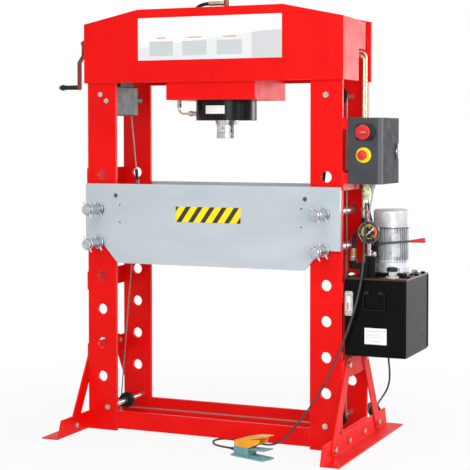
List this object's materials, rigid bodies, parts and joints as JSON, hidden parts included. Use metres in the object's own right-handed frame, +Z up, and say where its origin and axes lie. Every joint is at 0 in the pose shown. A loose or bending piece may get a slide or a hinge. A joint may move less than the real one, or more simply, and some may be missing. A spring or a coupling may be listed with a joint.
{
  "type": "hydraulic workshop press",
  "caption": "Free-standing two-column hydraulic press with a pinned table, electric power unit, control box, rope winch and foot pedal.",
  "frame": {"origin": "on the floor below the ram axis, midway between the front and rear column plates", "axes": "+Z up, +X along the table towards the power unit, +Y from the front to the back; the press is tallest along Z"},
  "size_m": [1.8872, 1.1609, 2.043],
  "materials": {
    "frame_red": "gloss",
    "table_grey": "satin",
    "box_grey": "satin",
    "black_gloss": "gloss",
    "winch_grey": "satin",
    "crank_red": "satin",
    "zinc": "satin",
    "bright_steel": "polished",
    "rope_steel": "satin",
    "chrome": "polished",
    "motor_alu": "satin",
    "black_plastic": "matte",
    "black_rubber": "matte",
    "grey_cable": "matte",
    "signal_red": "gloss",
    "grip_red": "gloss",
    "handle_grey": "gloss",
    "pedal_teal": "satin",
    "guard_orange": "gloss",
    "white_needle": "satin"
  },
  "bodies": {
    "frame": {"upright_front_left": "frame_red", "upright_front_right": "frame_red", "upright_rear_left": "frame_red", "upright_rear_right": "frame_red", "column_ties": "frame_red", "foot_left": "frame_red", "foot_right": "frame_red", "foot_braces": "frame_red", "frame_bolts": "zinc", "head_plate_front": "frame_red", "head_plate_rear": "frame_red", "head_end_plates": "frame_red", "cylinder_cradle": "frame_red", "cylinder": "black_gloss", "sheave_axles": "zinc", "lift_ropes": "rope_steel", "rope_ferrules": "black_plastic", "winch_case": "winch_grey", "control_box": "box_grey", "oil_tank": "black_gloss", "tank_lid": "black_gloss", "tank_fittings": "black_plastic", "motor_body": "motor_alu", "motor_cowl": "motor_alu", "valve_stack": "black_gloss", "hydraulic_fittings": "zinc", "steel_pipes": "zinc", "hydraulic_hoses": "black_rubber", "gauge_case": "black_gloss", "pedal_base": "pedal_teal", "pedal_guard": "guard_orange", "foot_cable": "black_rubber", "mains_lead": "black_rubber", "motor_cable": "grey_cable", "mains_plug": "black_rubber"},
    "ram": {"ram": "chrome", "ram_tip": "bright_steel"},
    "table": {"table_plate_front": "table_grey", "table_plate_rear": "table_grey", "table_cross_members": "table_grey"},
    "crank": {"crank_arm": "crank_red"},
    "crank_grip": {"crank_grip": "black_plastic"},
    "door": {"control_door": "box_grey"},
    "door_lock": {"door_lock": "handle_grey"},
    "main_switch": {"main_switch": "signal_red"},
    "estop": {"estop_button": "signal_red"},
    "bail": {"tank_bail": "black_gloss"},
    "filler_cap": {"filler_cap": "chrome"},
    "fan": {"motor_fan": "black_plastic"},
    "valve_lever": {"valve_lever": "black_gloss", "lever_grip": "grip_red"},
    "needle": {"gauge_needle": "white_needle"},
    "treadle": {"pedal_treadle": "pedal_teal"},
    "pin_lower_left": {"table_pin_lower_left": "bright_steel"},
    "pin_lower_right": {"table_pin_lower_right": "bright_steel"},
    "pin_upper_left": {"table_pin_upper_left": "bright_steel"},
    "pin_upper_right": {"table_pin_upper_right": "bright_steel"},
    "sheave_lower_left": {"sheave_lower_left": "black_plastic"},
    "sheave_lower_right": {"sheave_lower_right": "black_plastic"},
    "sheave_upper_right": {"sheave_upper_right": "black_plastic"}
  },
  "joints": [
    {"name": "ram_slide", "type": "slide", "parent": "frame", "child": "ram", "axis": [0, 0, -1], "range_m": [0, 0.3]},
    {"name": "table_lift", "type": "slide", "parent": "frame", "child": "table", "axis": [0, 0, 1], "range_m": [0, 0.0042]},
    {"name": "pin_pull_lower_left", "type": "slide", "parent": "frame", "child": "pin_lower_left", "axis": [0, -1, 0], "range_m": [0, 0.45]},
    {"name": "pin_pull_lower_right", "type": "slide", "parent": "frame", "child": "pin_lower_right", "axis": [0, -1, 0], "range_m": [0, 0.45]},
    {"name": "pin_pull_upper_left", "type": "slide", "parent": "frame", "child": "pin_upper_left", "axis": [0, -1, 0], "range_m": [0, 0.45]},
    {"name": "pin_pull_upper_right", "type": "slide", "parent": "frame", "child": "pin_upper_right", "axis": [0, -1, 0], "range_m": [0, 0.45]},
    {"name": "sheave_turn_lower_left", "type": "hinge", "parent": "frame", "child": "sheave_lower_left", "pos_m": [-0.53, 0, 0.111], "axis": [0, 1, 0], "continuous": true},
    {"name": "sheave_turn_lower_right", "type": "hinge", "parent": "frame", "child": "sheave_lower_right", "pos_m": [0.561, 0, 0.111], "axis": [0, 1, 0], "continuous": true},
    {"name": "sheave_turn_upper_right", "type": "hinge", "parent": "frame", "child": "sheave_upper_right", "pos_m": [0.561, 0, 1.576], "axis": [0, 1, 0], "continuous": true},
    {"name": "crank_turn", "type": "hinge", "parent": "frame", "child": "crank", "pos_m": [-0.7, 0, 1.846], "axis": [1, 0, 0], "continuous": true},
    {"name": "grip_turn", "type": "hinge", "parent": "crank", "child": "crank_grip", "pos_m": [-0.84, 0, 1.632], "axis": [1, 0, 0], "continuous": true},
    {"name": "door_hinge", "type": "hinge", "parent": "frame", "child": "door", "pos_m": [0.796, -0.187, 1.33], "axis": [0, 0, -1], "range_deg": [0, 110]},
    {"name": "lock_turn", "type": "hinge", "parent": "door", "child": "door_lock", "pos_m": [0.815, 0.035, 1.327], "axis": [1, 0, 0], "range_deg": [0, 90]},
    {"name": "main_switch_turn", "type": "hinge", "parent": "frame", "child": "main_switch", "pos_m": [0.733, -0.187, 1.412], "axis": [0, -1, 0], "range_deg": [0, 90]},
    {"name": "estop_press", "type": "slide", "parent": "frame", "child": "estop", "axis": [0, 1, 0], "range_m": [0, 0.005], "stiffness_N_per_m": 600, "springref_m": -0.003},
    {"name": "bail_swing", "type": "hinge", "parent": "frame", "child": "bail", "pos_m": [0.784, -0.195, 0.713], "axis": [-1, 0, 0], "range_deg": [0, 100]},
    {"name": "cap_turn", "type": "hinge", "parent": "frame", "child": "filler_cap", "pos_m": [0.846, -0.125, 0.79], "axis": [0, 0, 1], "range_deg": [0, 90]},
    {"name": "fan_turn", "type": "hinge", "parent": "frame", "child": "fan", "pos_m": [0.805, 0, 1.03], "axis": [0, 0, 1], "continuous": true},
    {"name": "lever_tilt", "type": "hinge", "parent": "frame", "child": "valve_lever", "pos_m": [0.756, -0.1, 0.919], "axis": [0, -1, 0], "range_deg": [-12, 12], "stiffness_Nm_per_rad": 20},
    {"name": "needle_turn", "type": "hinge", "parent": "frame", "child": "needle", "pos_m": [0.746, -0.1455, 0.973], "axis": [0, 1, 0], "range_deg": [0, 270]},
    {"name": "treadle_press", "type": "hinge", "parent": "frame", "child": "treadle", "pos_m": [0.28814, -0.41075, 0.038], "axis": [0.3173, 0.9483, 0], "range_deg": [0, 8], "stiffness_Nm_per_rad": 3, "springref_deg": -11.46}
  ]
}
